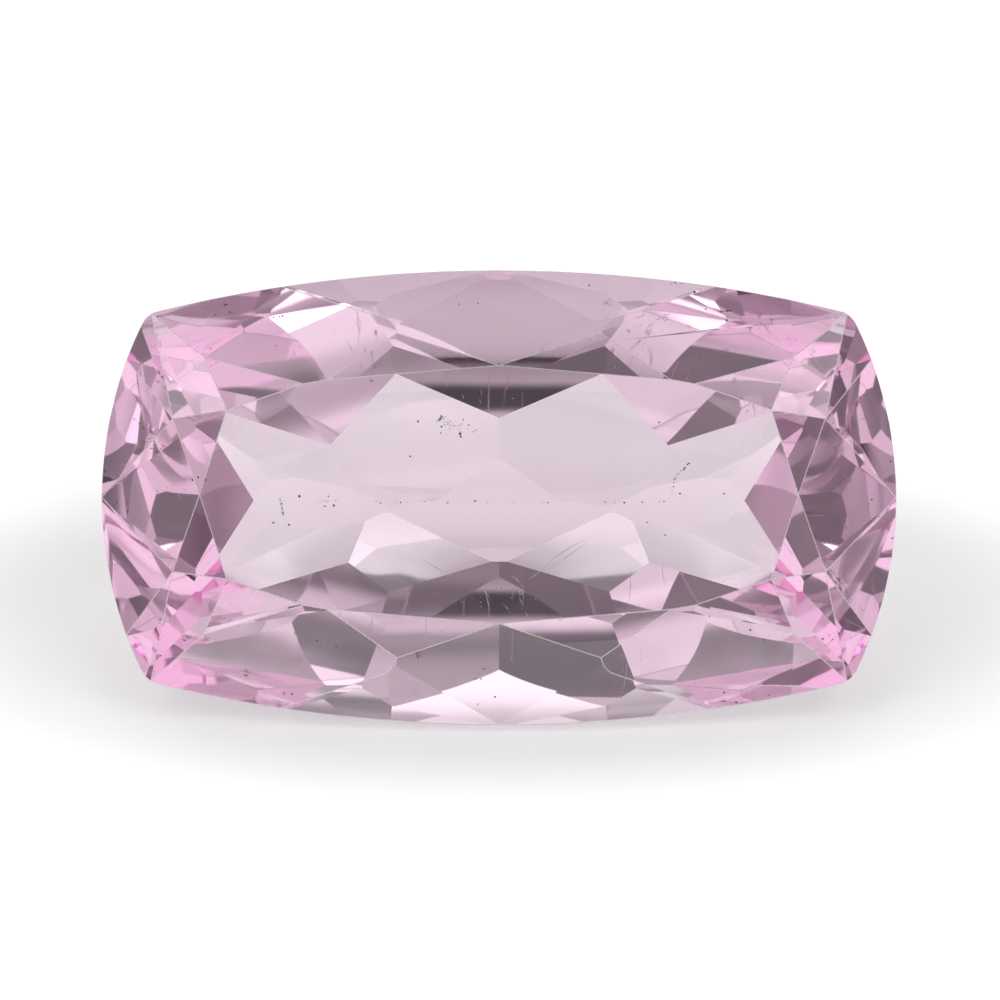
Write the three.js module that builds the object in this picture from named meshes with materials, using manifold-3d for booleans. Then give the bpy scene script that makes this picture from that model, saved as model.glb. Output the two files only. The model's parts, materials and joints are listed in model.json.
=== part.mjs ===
// A cut kunzite: a cushion-shaped gemstone with a flat table, a crown of kites, stars and
// girdle facets, and a pavilion of four rows of facets that closes on a long keel.
// Millimetres, +Z up. The stone lies on its front pavilion facet, so its table leans forward.
import * as THREE from 'three';
import { mergeVertices } from 'three/addons/utils/BufferGeometryUtils.js';
import Module from 'manifold-3d';

const wasm = await Module();
wasm.setup();

// Outline of the girdle, seen from above the table
const halfWidth = 5.74;
const endRadius = 10.03; // the two short sides are arcs about the stone's middle
const longSideRadius = 36.6;
const cornerRadius = 0.65;
const arcSegments = 12; // ExtrudeGeometry gives each arc twice as many

// Heights above the middle of the keel
const pavilionDepth = 4.96;
const girdleThickness = 0.3;
const crownHeight = 1.42;
const girdleTop = pavilionDepth + girdleThickness;
const tableHeight = girdleTop + crownHeight;

// One quarter of the stone is described, and the other three mirror it, but for the back's own cuts.
// Its facets stand at four stations along the outline: middle of the long side, shoulder, corner,
// middle of the short side. At each the crown has a kite and the pavilion a steep break facet.
// A heading is the way a facet faces in plan, 0 along the length and 90 across it.
// A slope is counted from the table's plane.
const stations = [
  { girdleX: 0, crownHeading: 90, tableCorner: [0, 3.25], breakSlope: 44.5, breakHeading: 90 },
  { girdleX: 5.49, crownHeading: 79.6, tableCorner: [4.71, 2.86], breakSlope: 43.2, breakHeading: 75.7 },
  { girdleX: 8.78, crownHeading: 43.2, tableCorner: [6.85, 2.13], breakSlope: 38.9, breakHeading: 44.2 },
  { girdleX: endRadius, crownHeading: 0, tableCorner: [7.53, 0], breakSlope: 41.7, breakHeading: 0 },
];

// Between two stations: the height over the girdle where two crown kites and a star meet, the slope
// and heading of the pavilion's main kite, the height of its outer tip, and the slope of the pair of
// small facets under the girdle. The first is the one beside the middle of the long side.
const gaps = [
  { starMeet: 0.89, mainSlope: 35.5, mainHeading: 83.3, mainTip: 1.6, pairSlope: 48.4 },
  { starMeet: 0.8, mainSlope: 34.7, mainHeading: 62, mainTip: 2.86, pairSlope: 46.6 },
  { starMeet: 1.03, mainSlope: 33.1, mainHeading: 14.3, mainTip: 2.61, pairSlope: 45.2 },
];

// The two long sides of the pavilion aren't cut quite alike. Towards the middle of the back the
// break facets end farther from the keel, which the main kites give way to.
const backBreaks = [{ breakSlope: 45.1 }, { breakSlope: 41.6, breakHeading: 73 }];
const backMains = [
  { mainSlope: 36, mainHeading: 80.6, mainTip: 2.4 },
  { mainSlope: 34.8, mainHeading: 61.5, mainTip: 3.05 },
];

// The innermost row, from the middle of the keel to its end
const keelRow = [
  { slope: 28.3, heading: 90 },
  { slope: 31.8, heading: 76.1 },
  { slope: 29.6, heading: 35.5 },
  { slope: 23.2, heading: 0 },
];

const degree = Math.PI / 180;
const cutterSize = 60; // one block takes away all of the stone that lies past a facet
const sideCentreY = halfWidth - longSideRadius;
const mirrorPlane = new THREE.Plane(new THREE.Vector3(0, 1, 0), 0); // runs along the keel
const level = (height) => new THREE.Plane(new THREE.Vector3(0, 0, 1), -height);

// Where two circles cross, one about the stone's middle and one about the long side's centre
function crossing(middleRadius, sideRadius) {
  const y = (middleRadius ** 2 - sideRadius ** 2 + sideCentreY ** 2) / (2 * sideCentreY);
  return new THREE.Vector2(Math.sqrt(middleRadius ** 2 - y ** 2), y);
}

const cornerCentre = crossing(endRadius - cornerRadius, longSideRadius - cornerRadius);
const endAngle = Math.atan2(cornerCentre.y, cornerCentre.x);
const sideAngle = Math.atan2(cornerCentre.y - sideCentreY, cornerCentre.x);

// The outline's four corners are small arcs that touch the end arc and the long side's arc
function girdleOutline() {
  const { x, y } = cornerCentre;
  const outline = new THREE.Shape();
  outline.absarc(0, 0, endRadius, -endAngle, endAngle);
  outline.absarc(x, y, cornerRadius, endAngle, sideAngle);
  outline.absarc(0, sideCentreY, longSideRadius, sideAngle, Math.PI - sideAngle);
  outline.absarc(-x, y, cornerRadius, Math.PI - sideAngle, Math.PI - endAngle);
  outline.absarc(0, 0, endRadius, Math.PI - endAngle, Math.PI + endAngle);
  outline.absarc(-x, -y, cornerRadius, Math.PI + endAngle, Math.PI + sideAngle);
  outline.absarc(0, -sideCentreY, longSideRadius, Math.PI + sideAngle, 2 * Math.PI - sideAngle);
  outline.absarc(x, -y, cornerRadius, -sideAngle, -endAngle);
  return outline;
}

// A point of the outline's quarter, at a distance along the stone
function outlinePoint(x, height) {
  const sideEnd = longSideRadius * Math.cos(sideAngle);
  const endStart = endRadius * Math.cos(endAngle);
  let y = Math.sqrt(Math.max(endRadius ** 2 - x ** 2, 0));
  if (x < sideEnd) y = sideCentreY + Math.sqrt(longSideRadius ** 2 - x ** 2);
  else if (x < endStart) y = cornerCentre.y + Math.sqrt(cornerRadius ** 2 - (x - cornerCentre.x) ** 2);
  return new THREE.Vector3(x, y, height);
}

// A facet that faces up on the crown (side 1) or down on the pavilion (side -1)
function slopedFacet(slope, heading, point, side) {
  const run = Math.sin(slope * degree);
  const normal = new THREE.Vector3(
    run * Math.cos(heading * degree),
    run * Math.sin(heading * degree),
    side * Math.cos(slope * degree),
  );
  return new THREE.Plane().setFromNormalAndCoplanarPoint(normal, point);
}

function facetThrough(a, b, c, side) {
  const plane = new THREE.Plane().setFromCoplanarPoints(a, b, c);
  return plane.normal.z * side < 0 ? plane.negate() : plane;
}

// Two small facets stand side by side on the girdle between two stations
function pairFeet(i, height) {
  const [left, right] = [stations[i].girdleX, stations[i + 1].girdleX];
  return [left, (left + right) / 2, right].map((x) => outlinePoint(x, height));
}

// Above the girdle the two meet in the star's lower point
function crownPair(starPoint, i) {
  const [start, middle, end] = pairFeet(i, girdleTop);
  return [facetThrough(starPoint, start, middle, 1), facetThrough(starPoint, middle, end, 1)];
}

// Below it both have one slope, steeper than the break facets beside them
function pavilionPair(slope, i) {
  const [start, middle, end] = pairFeet(i, pavilionDepth);
  return [[start, middle], [middle, end]].map(([from, to]) => {
    const heading = Math.atan2(to.x - from.x, from.y - to.y) / degree;
    return slopedFacet(slope, heading, middle, -1);
  });
}

// The point where three planes meet
function meet(a, b, c) {
  const [p, q, r] = [a.normal, b.normal, c.normal];
  const rows = new THREE.Matrix3().set(p.x, p.y, p.z, q.x, q.y, q.z, r.x, r.y, r.z);
  return new THREE.Vector3(-a.constant, -b.constant, -c.constant).applyMatrix3(rows.invert());
}

// The crown's kite at a station runs from its table corner down to the girdle
function crownKite({ girdleX, crownHeading, tableCorner }) {
  const foot = outlinePoint(girdleX, girdleTop);
  const facing = new THREE.Vector2(Math.cos(crownHeading * degree), Math.sin(crownHeading * degree));
  const run = (foot.x - tableCorner[0]) * facing.x + (foot.y - tableCorner[1]) * facing.y;
  return slopedFacet(Math.atan(crownHeight / run) / degree, crownHeading, foot, 1);
}

function crownFacets() {
  const kites = stations.map(crownKite);
  const corners = stations.map(({ tableCorner: [x, y] }) => new THREE.Vector3(x, y, tableHeight));
  const between = gaps.flatMap(({ starMeet }, i) => {
    const top = meet(kites[i], kites[i + 1], level(girdleTop + starMeet));
    const star = facetThrough(corners[i], corners[i + 1], top, 1);
    return [star, ...crownPair(top, i)];
  });
  return [level(tableHeight), ...kites, ...between];
}

// Steep break facets rise to the girdle with small pairs between them. Main kites stand below the
// pairs, and the shallow keel row closes the stone: each of its facets starts where the one before it
// and a main kite reach the keel.
function pavilionFacets(ownBreaks, ownMains) {
  const breaks = stations.map((station, i) => {
    const { girdleX, breakSlope, breakHeading } = { ...station, ...ownBreaks[i] };
    return slopedFacet(breakSlope, breakHeading, outlinePoint(girdleX, pavilionDepth), -1);
  });
  const mains = gaps.map((gap, i) => {
    const { mainSlope, mainHeading, mainTip } = { ...gap, ...ownMains[i] };
    return slopedFacet(mainSlope, mainHeading, meet(breaks[i], breaks[i + 1], level(mainTip)), -1);
  });
  const keel = [slopedFacet(keelRow[0].slope, keelRow[0].heading, new THREE.Vector3(), -1)];
  for (let i = 1; i < keelRow.length - 1; i += 1) {
    const start = meet(keel[i - 1], mains[i - 1], mirrorPlane);
    keel.push(slopedFacet(keelRow[i].slope, keelRow[i].heading, start, -1));
  }
  const endTip = meet(breaks[3], mains[2], mirrorPlane);
  keel.push(slopedFacet(keelRow[3].slope, keelRow[3].heading, endTip, -1));
  const pairs = gaps.flatMap(({ pairSlope }, i) => pavilionPair(pairSlope, i));
  return [...breaks, ...pairs, ...mains, ...keel];
}

// A facet and its mirror images on the given sides, 1 for the back and -1 for the front. One that
// faces straight across the stone is its own image in the length.
function mirrored(plane, sides) {
  const { normal, constant } = plane;
  const ends = Math.abs(normal.x) < 1e-6 ? [1] : [1, -1];
  return ends.flatMap((sx) =>
    sides.map((sy) =>
      new THREE.Plane(new THREE.Vector3(normal.x * sx, normal.y * sy, normal.z), constant)));
}

function toManifold(geometry) {
  const bare = geometry.clone();
  bare.deleteAttribute('normal');
  bare.deleteAttribute('uv');
  const merged = mergeVertices(bare);
  const mesh = new wasm.Mesh({
    numProp: 3,
    vertProperties: merged.attributes.position.array,
    triVerts: new Uint32Array(merged.index.array),
  });
  return new wasm.Manifold(mesh);
}

function toGeometry(manifold) {
  const { vertProperties, triVerts } = manifold.getMesh();
  const geometry = new THREE.BufferGeometry();
  geometry.setAttribute('position', new THREE.BufferAttribute(vertProperties, 3));
  geometry.setIndex(new THREE.BufferAttribute(triVerts, 1));
  geometry.computeVertexNormals();
  return geometry;
}

// The block that lies past a facet
function cutter(plane) {
  const block = new THREE.BoxGeometry(cutterSize, cutterSize, cutterSize);
  block.translate(0, 0, cutterSize / 2);
  const up = new THREE.Vector3(0, 0, 1);
  block.applyQuaternion(new THREE.Quaternion().setFromUnitVectors(up, plane.normal));
  const foot = plane.coplanarPoint(new THREE.Vector3());
  block.translate(foot.x, foot.y, foot.z);
  return toManifold(block);
}

function cutStone() {
  const rough = new THREE.ExtrudeGeometry(girdleOutline(), {
    depth: tableHeight,
    bevelEnabled: false,
    curveSegments: arcSegments,
  });
  const facets = [
    ...crownFacets().slice(1).flatMap((facet) => mirrored(facet, [1, -1])),
    ...pavilionFacets(backBreaks, backMains).flatMap((facet) => mirrored(facet, [1])),
    ...pavilionFacets([], []).flatMap((facet) => mirrored(facet, [-1])),
  ];
  const stone = facets.reduce((left, facet) => left.subtract(cutter(facet)), toManifold(rough));
  return toGeometry(stone);
}

// The stone leans by the slope of the front break facet, which is then level and carries it
function lyingStone() {
  const geometry = cutStone();
  geometry.rotateX(stations[0].breakSlope * degree);
  geometry.computeBoundingBox();
  const { min, max } = geometry.boundingBox;
  geometry.translate(-(min.x + max.x) / 2, -(min.y + max.y) / 2, -min.z);
  const material = new THREE.MeshStandardMaterial({
    color: 0xe3cadb,
    roughness: 0.02,
    metalness: 0,
    transparent: true,
    opacity: 0.4,
    flatShading: true,
  });
  const stone = new THREE.Mesh(geometry, material);
  stone.name = 'kunzite';
  return stone;
}

const gemstone = new THREE.Group();
gemstone.add(lyingStone());

export default gemstone;
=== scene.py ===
import bpy, bmesh, json, math, random
from mathutils import Matrix, Vector
from mathutils.bvhtree import BVHTree


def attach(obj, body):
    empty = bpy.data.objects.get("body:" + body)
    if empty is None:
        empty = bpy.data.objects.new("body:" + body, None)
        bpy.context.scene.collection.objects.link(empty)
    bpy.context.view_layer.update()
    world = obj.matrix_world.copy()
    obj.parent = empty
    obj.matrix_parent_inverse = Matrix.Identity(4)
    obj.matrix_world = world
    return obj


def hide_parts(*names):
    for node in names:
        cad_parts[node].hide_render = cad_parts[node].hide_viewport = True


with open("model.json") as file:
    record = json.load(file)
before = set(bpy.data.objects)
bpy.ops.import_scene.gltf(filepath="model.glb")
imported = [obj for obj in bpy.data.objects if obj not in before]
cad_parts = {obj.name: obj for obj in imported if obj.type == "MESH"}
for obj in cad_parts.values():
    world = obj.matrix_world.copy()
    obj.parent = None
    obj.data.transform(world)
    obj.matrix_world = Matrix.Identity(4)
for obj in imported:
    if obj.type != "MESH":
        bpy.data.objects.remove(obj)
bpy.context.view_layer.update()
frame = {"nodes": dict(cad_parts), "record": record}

mm = 0.001
stoneNode = "kunzite"

# The stone lies on one pavilion facet, so its table leans forward. Places on it are given in its own
# frame: x along its length, y across it, and the depth down from the middle of the table.
tableMount = next(m for m in frame["record"]["mounts"] if m["name"] == "table")
gemUp = Vector(tableMount["axis"]).normalized()
gemLong = Vector((1, 0, 0))
gemAcross = gemUp.cross(gemLong)
tableCentre = Vector(tableMount["pos_m"])


def gemVector(x, y, z):
    return gemLong * x + gemAcross * y + gemUp * z


def gemPoint(x, y, depth):
    return tableCentre + gemVector(x, y, -depth) * mm


def inGemFrame(point):
    away = (point - tableCentre) / mm
    return Vector((away.dot(gemLong), away.dot(gemAcross), -away.dot(gemUp)))


cadPoints = [inGemFrame(v.co) for v in frame["nodes"][stoneNode].data.vertices]
stoneLength = max(p.x for p in cadPoints) - min(p.x for p in cadPoints)
stoneWidth = max(p.y for p in cadPoints) - min(p.y for p in cadPoints)
stoneDepth = max(p.z for p in cadPoints)
endShare = 0.499  # of the length, points farther out than this are on the girdle's ends
girdleDepths = [p.z for p in cadPoints if abs(p.x) > endShare * stoneLength]
girdleDepth = (max(girdleDepths) + min(girdleDepths)) / 2
print("stone", round(stoneLength, 2), "x", round(stoneWidth, 2), "x", round(stoneDepth, 2), "mm")


def newNodes(owner):
    owner.use_nodes = True
    owner.node_tree.nodes.clear()
    return owner.node_tree.nodes, owner.node_tree.links


def mathNode(nodes, links, operation, first, second=None, third=None):
    node = nodes.new("ShaderNodeMath")
    node.operation = operation
    for socket, value in zip(node.inputs, (first, second, third)):
        if value is None:
            continue
        if isinstance(value, (int, float)):
            socket.default_value = value
        else:
            links.new(value, socket)
    return node.outputs[0]


def rampBetween(nodes, links, value, low, high, outLow, outHigh):
    node = nodes.new("ShaderNodeMapRange")
    node.interpolation_type = "SMOOTHSTEP"
    links.new(value, node.inputs["Value"])
    node.inputs["From Min"].default_value = low
    node.inputs["From Max"].default_value = high
    node.inputs["To Min"].default_value = outLow
    node.inputs["To Max"].default_value = outHigh
    return node.outputs["Result"]


def alongDirection(nodes, links, vector, direction):
    node = nodes.new("ShaderNodeVectorMath")
    node.operation = "DOT_PRODUCT"
    links.new(vector, node.inputs[0])
    node.inputs[1].default_value = direction
    return node.outputs["Value"]


def finishPiece(piece):
    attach(piece, "root")
    return piece


# camera

view = {
    "tilt": 2.8,  # degrees below the table's own axis
    "distance": 400,  # mm
    "frameShare": 0.7945,  # of the picture's width that the stone takes
    "offCentre": (0.025, -0.063),  # mm that the aim is off the middle of the girdle
    "sensor": 36,
    "clip": (0.01, 10),  # metres
}


def makeCamera():
    tilt = math.radians(view["tilt"])
    back = gemVector(0, -math.sin(tilt), math.cos(tilt))
    aim = gemPoint(view["offCentre"][0], view["offCentre"][1], girdleDepth)
    data = bpy.data.cameras.new("camera")
    data.sensor_width = view["sensor"]
    data.lens = view["sensor"] * view["distance"] * view["frameShare"] / stoneLength
    data.clip_start, data.clip_end = view["clip"]
    camera = bpy.data.objects.new("camera", data)
    camera.location = aim + back * view["distance"] * mm
    camera.rotation_euler = back.to_track_quat("Z", "Y").to_euler()
    bpy.context.collection.objects.link(camera)
    bpy.context.scene.camera = camera
    print("camera", view["distance"], "mm from the stone")
    return back


# studio: a soft grey tent, brighter softboxes, a few dark cards and the dark lens of the camera

studio = {
    "tentAbove": 0.62,
    "tentBelow": 0.70,  # for directions under the plane of the table
    "tentBlend": (-0.1, 0.25),  # how far up a direction points where one goes over into the other
    "foldSize": 2.6,  # folds of the cloth and shapes of the room behind it, more for smaller ones
    "foldDetail": 1.5,
    "foldEdges": (0.40, 0.60),  # of the noise, less for crisper folds between them
    "foldShift": (6.6, 2.9, 9.1),
    "foldLight": (0.34, 1.68),  # share of the tent's light in a fold and beside it
    "lensDark": 0.10,  # share of the tent's light that is left where the lens is
    "lensInner": 2.0,  # degrees
    "lensOuter": 4.5,
    "hoodDark": 0.75,  # the dimmer ring round the lens
    "hoodInner": 12,
    "hoodOuter": 26,
    "panels": [
        # towards, in the stone's frame: heading and angle from its axis, half angle, softness, light
        # the two big softboxes, which the upper corner kites mirror
        {"heading": 134, "lean": 55, "half": 6, "soft": 4, "light": 3.4},
        {"heading": 47, "lean": 56, "half": 6, "soft": 5, "light": 2.4},
        # smaller lights
        {"heading": 12, "lean": 32, "half": 5, "soft": 5, "light": 0.6},
        {"heading": 168, "lean": 32, "half": 5, "soft": 5, "light": 0.6},
        {"heading": 46, "lean": 40, "half": 3, "soft": 4, "light": 0.6},
        {"heading": 13, "lean": 56, "half": 4, "soft": 4, "light": 0.6},
        {"heading": 167, "lean": 57, "half": 3, "soft": 4, "light": 0.5},
        {"heading": 90, "lean": 72, "half": 7, "soft": 7, "light": 0.65},
        {"heading": 56, "lean": 27, "half": 3, "soft": 3, "light": 0.5},
        {"heading": 124, "lean": 28, "half": 3, "soft": 3, "light": 0.5},
        {"heading": 346, "lean": 38, "half": 3, "soft": 3, "light": 0.7},
        {"heading": 192, "lean": 42, "half": 3, "soft": 3, "light": 0.7},
        {"heading": 314, "lean": 27, "half": 3, "soft": 3, "light": 0.5},
        {"heading": 218, "lean": 43, "half": 3, "soft": 3, "light": 0.5},
        {"heading": 300, "lean": 17, "half": 3, "soft": 4, "light": 0.45},
        # dark cards
        {"heading": 89, "lean": 16, "half": 4, "soft": 4, "light": -0.28},
        {"heading": 330, "lean": 42, "half": 3, "soft": 3, "light": -0.50},
        {"heading": 205, "lean": 33, "half": 3, "soft": 3, "light": -0.50},
        {"heading": 36, "lean": 68, "half": 4, "soft": 5, "light": -0.35},
        {"heading": 146, "lean": 66, "half": 4, "soft": 5, "light": -0.35},
    ],
}


def directionInGem(heading, lean):
    turn, away = math.radians(heading), math.radians(lean)
    flat = math.sin(away)
    return gemVector(flat * math.cos(turn), flat * math.sin(turn), math.cos(away))


def makeStudio(cameraSide):
    world = bpy.data.worlds.new("tent")
    bpy.context.scene.world = world
    nodes, links = newNodes(world)
    direction = nodes.new("ShaderNodeTexCoord").outputs["Generated"]
    height = alongDirection(nodes, links, direction, gemUp)
    tent = rampBetween(
        nodes, links, height, *studio["tentBlend"], studio["tentBelow"], studio["tentAbove"]
    )
    shifted = nodes.new("ShaderNodeVectorMath")
    shifted.operation = "ADD"
    shifted.inputs[1].default_value = studio["foldShift"]
    links.new(direction, shifted.inputs[0])
    folds = nodes.new("ShaderNodeTexNoise")
    folds.inputs["Scale"].default_value = studio["foldSize"]
    folds.inputs["Detail"].default_value = studio["foldDetail"]
    links.new(shifted.outputs[0], folds.inputs["Vector"])
    folded = rampBetween(nodes, links, folds.outputs["Fac"], *studio["foldEdges"], *studio["foldLight"])
    towards = alongDirection(nodes, links, direction, cameraSide)
    light = mathNode(nodes, links, "MULTIPLY", tent, folded)
    for part in ("lens", "hood"):
        outer = math.cos(math.radians(studio[part + "Outer"]))
        inner = math.cos(math.radians(studio[part + "Inner"]))
        left = rampBetween(nodes, links, towards, outer, inner, 1.0, studio[part + "Dark"])
        light = mathNode(nodes, links, "MULTIPLY", light, left)
    for panel in studio["panels"]:
        facing = directionInGem(panel["heading"], panel["lean"])
        near = alongDirection(nodes, links, direction, facing)
        edge = math.cos(math.radians(panel["half"] + panel["soft"]))
        core = math.cos(math.radians(panel["half"]))
        extra = rampBetween(nodes, links, near, edge, core, 0.0, panel["light"])
        light = mathNode(nodes, links, "ADD", light, extra)
    light = mathNode(nodes, links, "MAXIMUM", light, 0.0)
    background = nodes.new("ShaderNodeBackground")
    links.new(light, background.inputs["Strength"])
    output = nodes.new("ShaderNodeOutputWorld")
    links.new(background.outputs[0], output.inputs["Surface"])
    print("studio", len(studio["panels"]), "lights and cards")


# floor: a white board that glows a little of itself, with painted shade round the stone

floorLook = {
    "size": 6.0,
    "drop": 0.00002,  # metres of air under the stone
    "white": (0.93, 0.92, 0.925),
    "paintedGlow": 0.32,  # painted glow: light the board gives off of itself, kept lower near the stone as painted shade under it
    "farPaintedGlow": 0.56,  # the same painted glow away from the stone
    "paintedShadeReach": (0.0048, 0.0078),  # metres from the stone's middle over which the painted shade round the stone fades into the full painted glow
    "longways": 0.42,  # a distance along the stone counts by this share
    "grain": 0.012,  # how much lighter and darker the board gets in places
    "grainSize": 900,
    "grainDetail": 4,
    "grainBand": (0.3, 0.7),
    "roughness": 0.9,
}


def makeFloor():
    mesh = bpy.data.meshes.new("floor")
    bm = bmesh.new()
    bmesh.ops.create_grid(bm, x_segments=1, y_segments=1, size=floorLook["size"] / 2)
    bmesh.ops.translate(bm, verts=bm.verts, vec=(0, 0, -floorLook["drop"]))
    bm.to_mesh(mesh)
    bm.free()
    floor = bpy.data.objects.new("floor", mesh)
    bpy.context.collection.objects.link(floor)
    material = bpy.data.materials.new("glowingWhiteBoard")
    nodes, links = newNodes(material)
    place = nodes.new("ShaderNodeTexCoord").outputs["Object"]
    around = nodes.new("ShaderNodeVectorMath")
    around.operation = "MULTIPLY"
    around.inputs[1].default_value = (floorLook["longways"], 1, 1)
    links.new(place, around.inputs[0])
    away = nodes.new("ShaderNodeVectorMath")
    away.operation = "LENGTH"
    links.new(around.outputs[0], away.inputs[0])
    near, far = floorLook["paintedShadeReach"]
    # painted glow of the board, dimmer near the stone as a painted shadow round it
    paintedGlow = rampBetween(
        nodes, links, away.outputs["Value"], near, far, floorLook["paintedGlow"], floorLook["farPaintedGlow"]
    )
    grain = nodes.new("ShaderNodeTexNoise")
    grain.inputs["Scale"].default_value = floorLook["grainSize"]
    grain.inputs["Detail"].default_value = floorLook["grainDetail"]
    links.new(place, grain.inputs["Vector"])
    low, high = floorLook["grainBand"]
    shade = rampBetween(
        nodes, links, grain.outputs["Fac"], low, high, 1 - floorLook["grain"], 1 + floorLook["grain"]
    )
    white = nodes.new("ShaderNodeVectorMath")
    white.operation = "SCALE"
    white.inputs[0].default_value = floorLook["white"]
    links.new(shade, white.inputs["Scale"])
    board = nodes.new("ShaderNodeBsdfPrincipled")
    links.new(white.outputs[0], board.inputs["Base Color"])
    board.inputs["Roughness"].default_value = floorLook["roughness"]
    board.inputs["Specular IOR Level"].default_value = 0.0
    # the board glows with the painted glow, though it is no lamp
    board.inputs["Emission Color"].default_value = (1, 1, 1, 1)
    links.new(paintedGlow, board.inputs["Emission Strength"])
    output = nodes.new("ShaderNodeOutputMaterial")
    links.new(board.outputs[0], output.inputs["Surface"])
    mesh.materials.append(material)
    print("floor", floorLook["size"], "m")


# stone

stone = {
    "weld": 0.5e-6,  # metres, corners this close are one
    "edgeRound": 0.013,  # mm, wear of the crown's facet edges
    "shortEdge": 0.050,  # mm, edges up to this are closed up first
    "edgeSteps": 2,
    "flatAngle": 0.15,  # degrees, triangles that lie this flat are one facet
    "sharpAngle": 2.5,  # degrees between two facets that count as an edge
    "upright": 0.1,  # how far a facet faces up or down before it is no longer the girdle's
    "ior": 1.665,
    "absorbDensity": 34.0,  # per metre
    "absorbed": (4.6, 27.0, 12.2),  # per metre, red green blue
    # roughness of the crown's polish, the pavilion's polish, the ground girdle and the worn edges
    "rough": {"crown": 0.0, "pavilion": 0.025, "girdle": 0.34, "edge": 0.35},
    "edgeWhite": 0.55,  # how much of a worn edge scatters like ground glass
    "girdleWhite": 0.25,
    # polishing leaves the pavilion's facets a little rounded: mm from crest to crest down the stone,
    # mm of height and the depth of the flattest place under the table
    "bulge": {"spacing": 4.5, "height": 0.025, "depth": 4.96},
    "waveSize": 1.6,  # mm, the slow waves beside it
    "waveHeight": 0.002,  # mm
    "waveDetail": 1,
}


def polishedKunzite():
    material = bpy.data.materials.new("polishedKunzite")
    nodes, links = newNodes(material)
    skin = nodes.new("ShaderNodeBsdfPrincipled")
    skin.inputs["Base Color"].default_value = (1, 1, 1, 1)
    skin.inputs["IOR"].default_value = stone["ior"]

    def faceValue(name):
        node = nodes.new("ShaderNodeAttribute")
        node.attribute_name = name
        return node.outputs["Fac"]

    links.new(faceValue("rough"), skin.inputs["Roughness"])
    clear = mathNode(nodes, links, "SUBTRACT", 1.0, faceValue("white"))
    links.new(clear, skin.inputs["Transmission Weight"])
    place = nodes.new("ShaderNodeTexCoord").outputs["Object"]
    wavy = faceValue("wavy")
    bulge = stone["bulge"]
    turns = math.tau / (bulge["spacing"] * mm)
    flattest = tableCentre.dot(gemUp) - bulge["depth"] * mm
    height = alongDirection(nodes, links, place, gemUp)
    crest = mathNode(nodes, links, "MULTIPLY_ADD", height, turns, -turns * flattest)
    belly = nodes.new("ShaderNodeBump")
    belly.invert = True  # it is seen from inside the stone
    belly.inputs["Distance"].default_value = bulge["height"] * mm
    links.new(mathNode(nodes, links, "COSINE", crest), belly.inputs["Height"])
    links.new(wavy, belly.inputs["Strength"])
    waves = nodes.new("ShaderNodeTexNoise")
    waves.inputs["Scale"].default_value = 1 / (stone["waveSize"] * mm)
    waves.inputs["Detail"].default_value = stone["waveDetail"]
    links.new(place, waves.inputs["Vector"])
    bump = nodes.new("ShaderNodeBump")
    bump.inputs["Distance"].default_value = stone["waveHeight"] * mm
    links.new(waves.outputs["Fac"], bump.inputs["Height"])
    links.new(wavy, bump.inputs["Strength"])
    links.new(belly.outputs[0], bump.inputs["Normal"])
    links.new(bump.outputs[0], skin.inputs["Normal"])
    depth = nodes.new("ShaderNodeVolumeAbsorption")
    density = stone["absorbDensity"]
    depth.inputs["Color"].default_value = tuple(1 - a / density for a in stone["absorbed"]) + (1,)
    depth.inputs["Density"].default_value = density
    output = nodes.new("ShaderNodeOutputMaterial")
    links.new(skin.outputs[0], output.inputs["Surface"])
    links.new(depth.outputs[0], output.inputs["Volume"])
    return material


def finishFaces(bm, worn):
    # each face carries its polish: how rough it is, how white it scatters and how wavy it is
    layers = {name: bm.faces.layers.float.new(name) for name in ("rough", "white", "wavy")}
    for face in bm.faces:
        up = face.normal.dot(gemUp)
        row = "crown" if up > stone["upright"] else "pavilion" if up < -stone["upright"] else "girdle"
        if face.index in worn:
            row = "edge"
        face[layers["rough"]] = stone["rough"][row]
        face[layers["white"]] = {"edge": stone["edgeWhite"], "girdle": stone["girdleWhite"]}.get(row, 0.0)
        face[layers["wavy"]] = 1.0 if row == "pavilion" else 0.0


def makeStone():
    mesh = frame["nodes"][stoneNode].data.copy()
    mesh.name = "stone"
    bm = bmesh.new()
    bm.from_mesh(mesh)
    bmesh.ops.remove_doubles(bm, verts=bm.verts, dist=stone["weld"])
    flat = math.radians(stone["flatAngle"])
    bmesh.ops.dissolve_limit(bm, angle_limit=flat, verts=bm.verts, edges=bm.edges)
    bmesh.ops.remove_doubles(bm, verts=bm.verts, dist=stone["shortEdge"] * mm)
    # the crown takes the wear, and the keel's own chips are put in with the specks
    sharp = [
        e
        for e in bm.edges
        if e.calc_face_angle(0) > math.radians(stone["sharpAngle"])
        and max(face.normal.dot(gemUp) for face in e.link_faces) > stone["upright"]
    ]
    rounded = bmesh.ops.bevel(
        bm,
        geom=sharp,
        affect="EDGES",
        offset_type="OFFSET",
        offset=stone["edgeRound"] * mm,
        segments=stone["edgeSteps"],
        profile=0.5,
        clamp_overlap=False,
        material=-1,
    )
    bm.faces.index_update()
    finishFaces(bm, {face.index for face in rounded["faces"]})
    bm.to_mesh(mesh)
    print("stone mesh", len(bm.verts), "vertices", len(bm.faces), "faces")
    bm.free()
    mesh.materials.clear()
    mesh.materials.append(polishedKunzite())
    piece = bpy.data.objects.new("stone", mesh)
    bpy.context.collection.objects.link(piece)
    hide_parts(stoneNode)
    return finishPiece(piece)


# inside the stone: dark specks, pale growth tubes and the chipped line of the keel

insideBody = bmesh.new()
insideBody.from_mesh(frame["nodes"][stoneNode].data)
stoneWalls = BVHTree.FromBMesh(insideBody)
insideBody.free()

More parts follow.
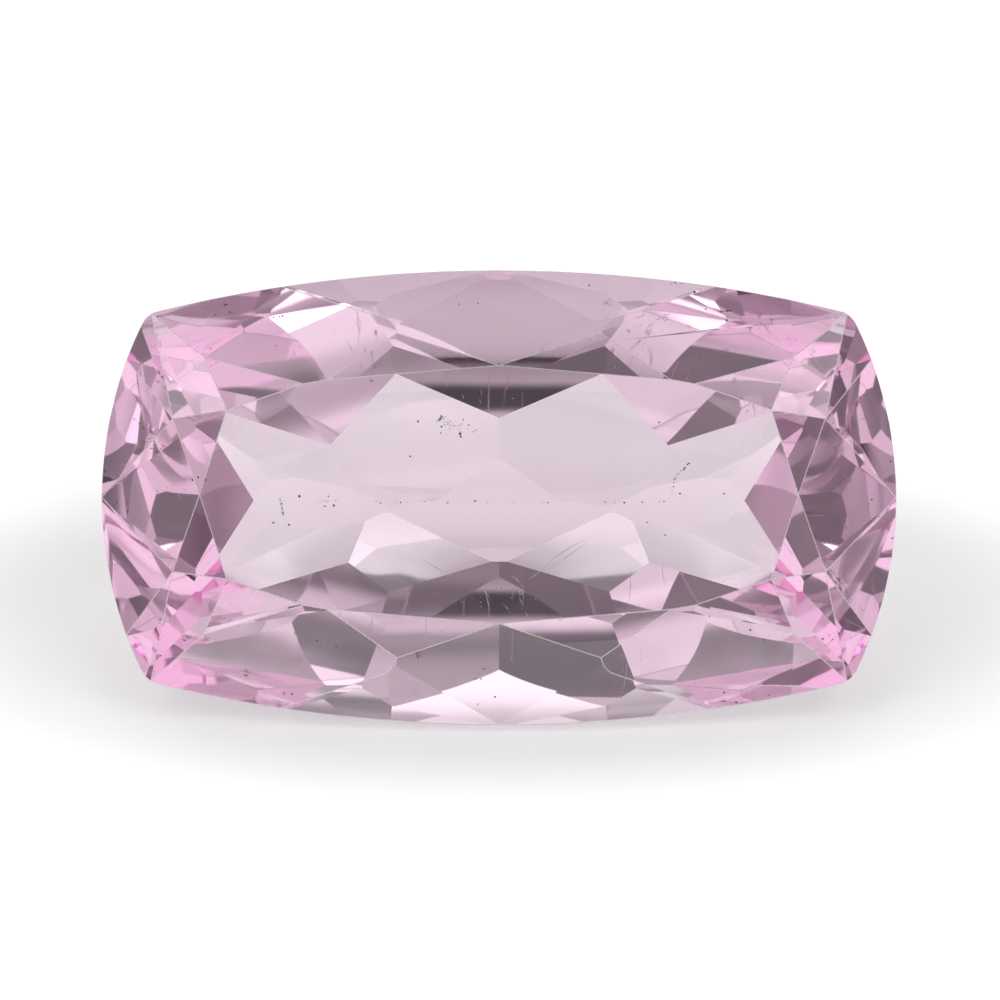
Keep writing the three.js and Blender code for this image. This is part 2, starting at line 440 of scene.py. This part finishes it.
probe = {"start": -5, "step": 0.01}  # mm, from well above the table and on past the wall it met
spread = 0.5  # of a stated reach, so that nearly all random places lie within it
crumbShape = {"wide": (0.5, 0.9), "thick": (0.4, 0.8)}  # of its length
needleSides = 6


def depthSpan(x, y):
    # where a line down from the table's side goes in and comes out
    start = gemPoint(x, y, probe["start"])
    first = stoneWalls.ray_cast(start, -gemUp)
    second = stoneWalls.ray_cast(first[0] - gemUp * probe["step"] * mm, -gemUp)
    return inGemFrame(first[0]).z, inGemFrame(second[0]).z


def placeInside(x, y, share):
    top, bottom = depthSpan(x, y)
    return gemPoint(x, y, top + share * (bottom - top))


specks = {
    # single crumbs: x, y, radius in mm, share of the depth from the skin (0) to the back (1)
    "crumbs": [
        (-2.04, 1.89, 0.039, 0.30), (-1.46, 2.01, 0.033, 0.22), (-1.48, 1.96, 0.030, 0.22),
        (-1.50, 1.92, 0.033, 0.22), (-1.45, 1.76, 0.045, 0.30), (-0.98, 1.59, 0.054, 0.34),
        (-0.965, 1.52, 0.039, 0.34), (-2.24, 1.03, 0.033, 0.40), (-1.14, 1.78, 0.026, 0.28),
        (-0.90, 1.93, 0.026, 0.28), (-0.76, 1.80, 0.026, 0.30), (-0.58, 1.67, 0.026, 0.30),
        (-0.64, 1.63, 0.024, 0.30), (-1.55, 1.90, 0.024, 0.24), (-1.37, 1.80, 0.026, 0.26),
        (-1.29, 1.86, 0.024, 0.26), (-1.47, 1.60, 0.026, 0.30), (-5.04, 0.03, 0.042, 0.45),
        (-4.31, 0.04, 0.038, 0.50), (-4.40, -0.21, 0.033, 0.50), (-4.17, -0.19, 0.045, 0.50),
        (-5.69, -0.65, 0.033, 0.40), (-5.30, -0.70, 0.045, 0.40), (-0.38, -4.19, 0.039, 0.30),
        (-0.59, -4.47, 0.033, 0.30), (-0.455, -4.47, 0.033, 0.30), (-0.10, -4.96, 0.036, 0.30),
        (-0.53, -5.16, 0.030, 0.30), (-4.56, -3.46, 0.036, 0.30), (-4.07, -3.60, 0.033, 0.30),
        (-0.38, 4.89, 0.036, 0.30), (-0.53, 4.79, 0.033, 0.30), (-1.01, 4.76, 0.033, 0.30),
        (4.93, 5.13, 0.053, 0.35), (4.45, 5.40, 0.033, 0.35), (4.36, 5.36, 0.027, 0.35),
        (4.52, 5.33, 0.024, 0.35), (4.62, 5.38, 0.027, 0.35), (3.74, -0.62, 0.036, 0.45),
        (4.19, -0.95, 0.039, 0.45), (4.57, 0.11, 0.042, 0.50), (5.68, 0.09, 0.036, 0.45),
        (4.04, 1.88, 0.033, 0.40), (2.28, 5.30, 0.030, 0.30), (-3.10, 3.05, 0.027, 0.30),
        (6.30, -3.20, 0.036, 0.30), (6.62, -2.61, 0.030, 0.30), (-7.40, 0.42, 0.036, 0.40),
    ],
    # rows of crumbs: x and y of both ends, radius, share, count, wander
    "rows": [
        (-5.53, -0.05, -5.43, -0.46, 0.028, 0.35, 7, 0.010),
        (4.45, 0.50, 4.80, 0.86, 0.028, 0.45, 8, 0.012),
        (4.42, 0.46, 4.38, 0.10, 0.024, 0.45, 5, 0.012),
        (4.08, 4.42, 4.30, 4.52, 0.020, 0.30, 6, 0.020),
    ],
    # feathers, flat clouds of very small crumbs: x, y, half length, half width, turn, share, count
    "feathers": [
        (2.73, 4.78, 0.24, 0.09, -30, 0.32, 34),
        (-1.16, 1.80, 0.42, 0.13, -14, 0.27, 40),
        (-1.42, 1.95, 0.10, 0.05, 60, 0.24, 12),
        (-5.48, -0.28, 0.08, 0.30, 0, 0.35, 18),
        (4.95, 5.05, 0.20, 0.08, 20, 0.35, 14),
        (-8.10, 0.05, 0.45, 0.24, 8, 0.45, 26),
    ],
    "featherSize": (0.009, 0.018),
    "featherDrift": 0.05,  # change of the share of the depth from the middle to the end
    "rowSize": (0.6, 1.2),  # of the row's radius
    "look": {"dark": (0.016, 0.009, 0.011), "light": (0.09, 0.055, 0.06), "scale": 60000, "roughness": 0.6},
    "seed": 11,
}

keelChips = {
    # x of each chip
    "chips": [-4.39, -4.14, -3.69, -3.01, -2.50, -1.89, -1.31, -0.61, 1.24, 2.68, 2.93, 3.18, 3.64, 4.19],
    "chipSize": (0.020, 0.036),
    "dust": 46,  # much smaller ones between them
    "dustSize": (0.009, 0.017),
    "reach": 4.6,  # mm each way from the middle
    "across": 0.03,
    "share": 0.992,
    "seed": 5,
}


def addCrumb(bm, place, radius, rng):
    turn = Matrix.Rotation(rng.uniform(0, math.tau), 4, Vector((rng.random(), rng.random(), 1)))
    wide = rng.uniform(*crumbShape["wide"])
    thick = rng.uniform(*crumbShape["thick"])
    stretch = Matrix.Diagonal((1, wide, thick, 1))
    size = Matrix.Scale(radius * mm, 4)
    bmesh.ops.create_icosphere(
        bm, subdivisions=1, radius=1, matrix=Matrix.Translation(place) @ turn @ stretch @ size
    )


def addNeedle(bm, start, end, radius, tip):
    axis = end - start
    turn = axis.to_track_quat("Z", "Y").to_matrix().to_4x4()
    bmesh.ops.create_cone(
        bm,
        cap_ends=True,
        segments=needleSides,
        radius1=radius * mm,
        radius2=radius * tip * mm,
        depth=axis.length,
        matrix=Matrix.Translation((start + end) / 2) @ turn,
    )


def finishMesh(name, bm, material):
    mesh = bpy.data.meshes.new(name)
    bm.to_mesh(mesh)
    bm.free()
    mesh.materials.append(material)
    piece = bpy.data.objects.new(name, mesh)
    bpy.context.collection.objects.link(piece)
    print(name, len(mesh.polygons), "faces")
    return finishPiece(piece)


def grainyMaterial(name, dark, light, scale, roughness, detail=3):
    material = bpy.data.materials.new(name)
    nodes, links = newNodes(material)
    place = nodes.new("ShaderNodeTexCoord").outputs["Object"]
    noise = nodes.new("ShaderNodeTexNoise")
    noise.inputs["Scale"].default_value = scale
    noise.inputs["Detail"].default_value = detail
    links.new(place, noise.inputs["Vector"])
    ramp = nodes.new("ShaderNodeValToRGB")
    ramp.color_ramp.elements[0].color = (*dark, 1)
    ramp.color_ramp.elements[1].color = (*light, 1)
    links.new(noise.outputs["Fac"], ramp.inputs["Fac"])
    skin = nodes.new("ShaderNodeBsdfPrincipled")
    links.new(ramp.outputs["Color"], skin.inputs["Base Color"])
    skin.inputs["Roughness"].default_value = roughness
    output = nodes.new("ShaderNodeOutputMaterial")
    links.new(skin.outputs[0], output.inputs["Surface"])
    return material


def makeSpecks():
    rng = random.Random(specks["seed"])
    bm = bmesh.new()
    for x, y, radius, share in specks["crumbs"]:
        addCrumb(bm, placeInside(x, y, share), radius, rng)
    for x1, y1, x2, y2, radius, share, count, wander in specks["rows"]:
        for i in range(count):
            t = i / (count - 1)
            x = x1 + (x2 - x1) * t + rng.gauss(0, wander)
            y = y1 + (y2 - y1) * t + rng.gauss(0, wander)
            addCrumb(bm, placeInside(x, y, share), radius * rng.uniform(*specks["rowSize"]), rng)
    for x, y, long, wide, turn, share, count in specks["feathers"]:
        angle = math.radians(turn)
        for _ in range(count):
            u = rng.gauss(0, spread) * long
            v = rng.gauss(0, spread) * wide
            px = x + u * math.cos(angle) - v * math.sin(angle)
            py = y + u * math.sin(angle) + v * math.cos(angle)
            place = placeInside(px, py, share + u * specks["featherDrift"])
            addCrumb(bm, place, rng.uniform(*specks["featherSize"]), rng)
    rng = random.Random(keelChips["seed"])
    places = [(x, keelChips["chipSize"]) for x in keelChips["chips"]]
    reach = keelChips["reach"]
    places += [(rng.uniform(-reach, reach), keelChips["dustSize"]) for _ in range(keelChips["dust"])]
    for x, size in places:
        y = rng.gauss(0, spread) * keelChips["across"]
        addCrumb(bm, placeInside(x, y, keelChips["share"]), rng.uniform(*size), rng)
    return finishMesh("specks", bm, grainyMaterial("darkSpeck", **specks["look"]))


# fine bright marks: open scratches under the table's skin, growth tubes and specks of dust

scratches = {
    # x and y of both ends, bow in mm, radius
    "lines": [
        (0.25, -2.03, 0.58, -2.32, 0.05, 0.0136), (0.51, -2.52, 0.63, -2.80, -0.03, 0.0120),
        (0.07, -2.76, 0.28, -2.99, 0.03, 0.0120), (-0.37, -2.43, -0.26, -3.08, 0.05, 0.0136),
        (-0.49, -2.32, -0.21, -2.69, 0.04, 0.0104), (-0.74, -2.45, -0.60, -2.29, 0.02, 0.0104),
        (0.72, -2.13, 1.09, -1.87, -0.03, 0.0120), (0.65, -2.94, 0.745, -3.13, 0.02, 0.0120),
        (-1.51, -3.43, -1.37, -3.44, 0.01, 0.0104), (-1.34, 3.14, -1.34, 2.64, 0.03, 0.0104),
        (-0.43, 3.02, -0.40, 2.90, 0.01, 0.0120), (-0.93, 2.52, -0.89, 2.40, 0.01, 0.0104),
        (-0.50, 2.40, -0.46, 2.28, 0.01, 0.0104), (1.04, -1.90, 2.30, -1.07, 0.06, 0.0096),
        (1.22, -1.86, 2.18, -1.20, -0.04, 0.0080), (-1.95, -1.60, -1.20, -2.02, -0.03, 0.0072),
        (3.21, -4.05, 3.09, -4.95, 0.05, 0.0096), (3.30, -1.80, 3.25, -2.80, 0.03, 0.0088),
        (4.10, -1.64, 4.20, -2.36, -0.03, 0.0088), (0.58, -2.08, 0.58, -2.94, 0.03, 0.0072),
    ],
    "steps": 5,
    "under": 0.035,  # mm below the skin
    "ringUnder": 0.04,
    "dotUnder": 0.05,
    "taper": 0.7,  # how much thinner a line gets towards its ends
    "tip": 0.9,  # of its thickness, at the far end of each step
    "ringSteps": 10,
    "look": {"dark": (0.78, 0.74, 0.77), "light": (0.97, 0.95, 0.97), "scale": 20000, "roughness": 0.5},
    # small rings and dots: x, y, radius of the ring, radius of its line
    "rings": [(0.56, -2.46, 0.050, 0.010), (1.55, -3.13, 0.045, 0.009), (4.19, 4.48, 0.060, 0.009)],
    "dots": [
        (0.05, -2.34, 0.048), (0.46, -2.17, 0.028), (0.30, -2.60, 0.020), (-0.10, -2.20, 0.017),
        (0.92, -2.62, 0.017), (-0.95, -2.70, 0.018), (1.40, -2.45, 0.015), (-1.62, -2.50, 0.015),
        (-8.60, 0.12, 0.042), (-8.35, 0.20, 0.031), (-8.05, -0.02, 0.036), (-7.90, 0.14, 0.025),
        (5.30, -3.05, 0.028), (2.55, 2.30, 0.017), (-2.70, 2.62, 0.015), (0.35, 2.42, 0.017),
    ],
}

growthTubes = {
    # broken rows: x, y of the lower end, length, slant in degrees, share of the depth, pieces
    "rows": [
        (3.28, -2.82, 1.00, 3, 0.05, 8),
        (4.27, -2.36, 0.72, 0, 0.05, 6),
        (0.58, -2.94, 0.86, 0, 0.05, 6),
        (3.05, -5.06, 1.15, 4, 0.10, 8),
        (3.62, -4.40, 0.90, -6, 0.08, 6),
        (2.95, 3.10, 1.30, -10, 0.08, 7),
        (3.50, 4.05, 0.80, 15, 0.08, 5),
        (-0.35, -3.25, 1.10, -8, 0.10, 7),
    ],
    "radius": (0.006, 0.014),  # mm
    "piece": (0.03, 0.11),  # mm long
    "wander": 0.05,
    "rise": 0.1,  # how far a piece points out of the level of its row
    "tip": (0.2, 0.9),  # of its thickness, at its upper end
    "seed": 23,
}


def skinPoint(x, y, under):
    top, bottom = depthSpan(x, y)
    return gemPoint(x, y, top + under)


def addScratch(bm, x1, y1, x2, y2, bow, radius):
    steps = scratches["steps"]
    across = Vector((y1 - y2, x2 - x1)).normalized() * bow
    points = []
    for i in range(steps + 1):
        t = i / steps
        swell = 4 * t * (1 - t)
        x = x1 + (x2 - x1) * t + across.x * swell
        y = y1 + (y2 - y1) * t + across.y * swell
        points.append(skinPoint(x, y, scratches["under"]))
    for i in range(steps):
        thick = radius * (1 - scratches["taper"] * abs(2 * i / (steps - 1) - 1))
        addNeedle(bm, points[i], points[i + 1], thick, scratches["tip"])


def addRing(bm, x, y, radius, line):
    steps = scratches["ringSteps"]
    points = []
    for i in range(steps):
        angle = math.tau * i / steps
        px = x + radius * math.cos(angle)
        py = y + radius * math.sin(angle)
        points.append(skinPoint(px, py, scratches["ringUnder"]))
    for i in range(steps):
        addNeedle(bm, points[i], points[(i + 1) % steps], line, 1.0)


def makeScratches():
    rng = random.Random(growthTubes["seed"])
    bm = bmesh.new()
    for line in scratches["lines"]:
        addScratch(bm, *line)
    for ring in scratches["rings"]:
        addRing(bm, *ring)
    for x, y, radius in scratches["dots"]:
        addCrumb(bm, skinPoint(x, y, scratches["dotUnder"]), radius, rng)
    for x, y, length, slant, share, pieces in growthTubes["rows"]:
        lean = math.radians(slant)
        for i in range(pieces):
            along = (i + rng.random()) / pieces * length
            px = x + along * math.sin(lean) + rng.gauss(0, spread) * growthTubes["wander"]
            py = y + along * math.cos(lean)
            start = placeInside(px, py, share)
            axis = gemVector(math.sin(lean), math.cos(lean), rng.gauss(0, growthTubes["rise"]))
            end = start + axis * rng.uniform(*growthTubes["piece"]) * mm
            radius = rng.uniform(*growthTubes["radius"])
            addNeedle(bm, start, end, radius, rng.uniform(*growthTubes["tip"]))
    return finishMesh("scratches", bm, grainyMaterial("paleMark", **scratches["look"]))


cameraSide = makeCamera()
makeStudio(cameraSide)
makeFloor()
makeStone()
makeSpecks()
makeScratches()

bounces = {"all": 32, "throughGlass": 32, "mirrored": 24, "scattered": 4}

scene = bpy.context.scene
scene.view_settings.view_transform = "Standard"
scene.cycles.max_bounces = bounces["all"]
scene.cycles.transmission_bounces = bounces["throughGlass"]
scene.cycles.glossy_bounces = bounces["mirrored"]
scene.cycles.diffuse_bounces = bounces["scattered"]
print("scene ready")
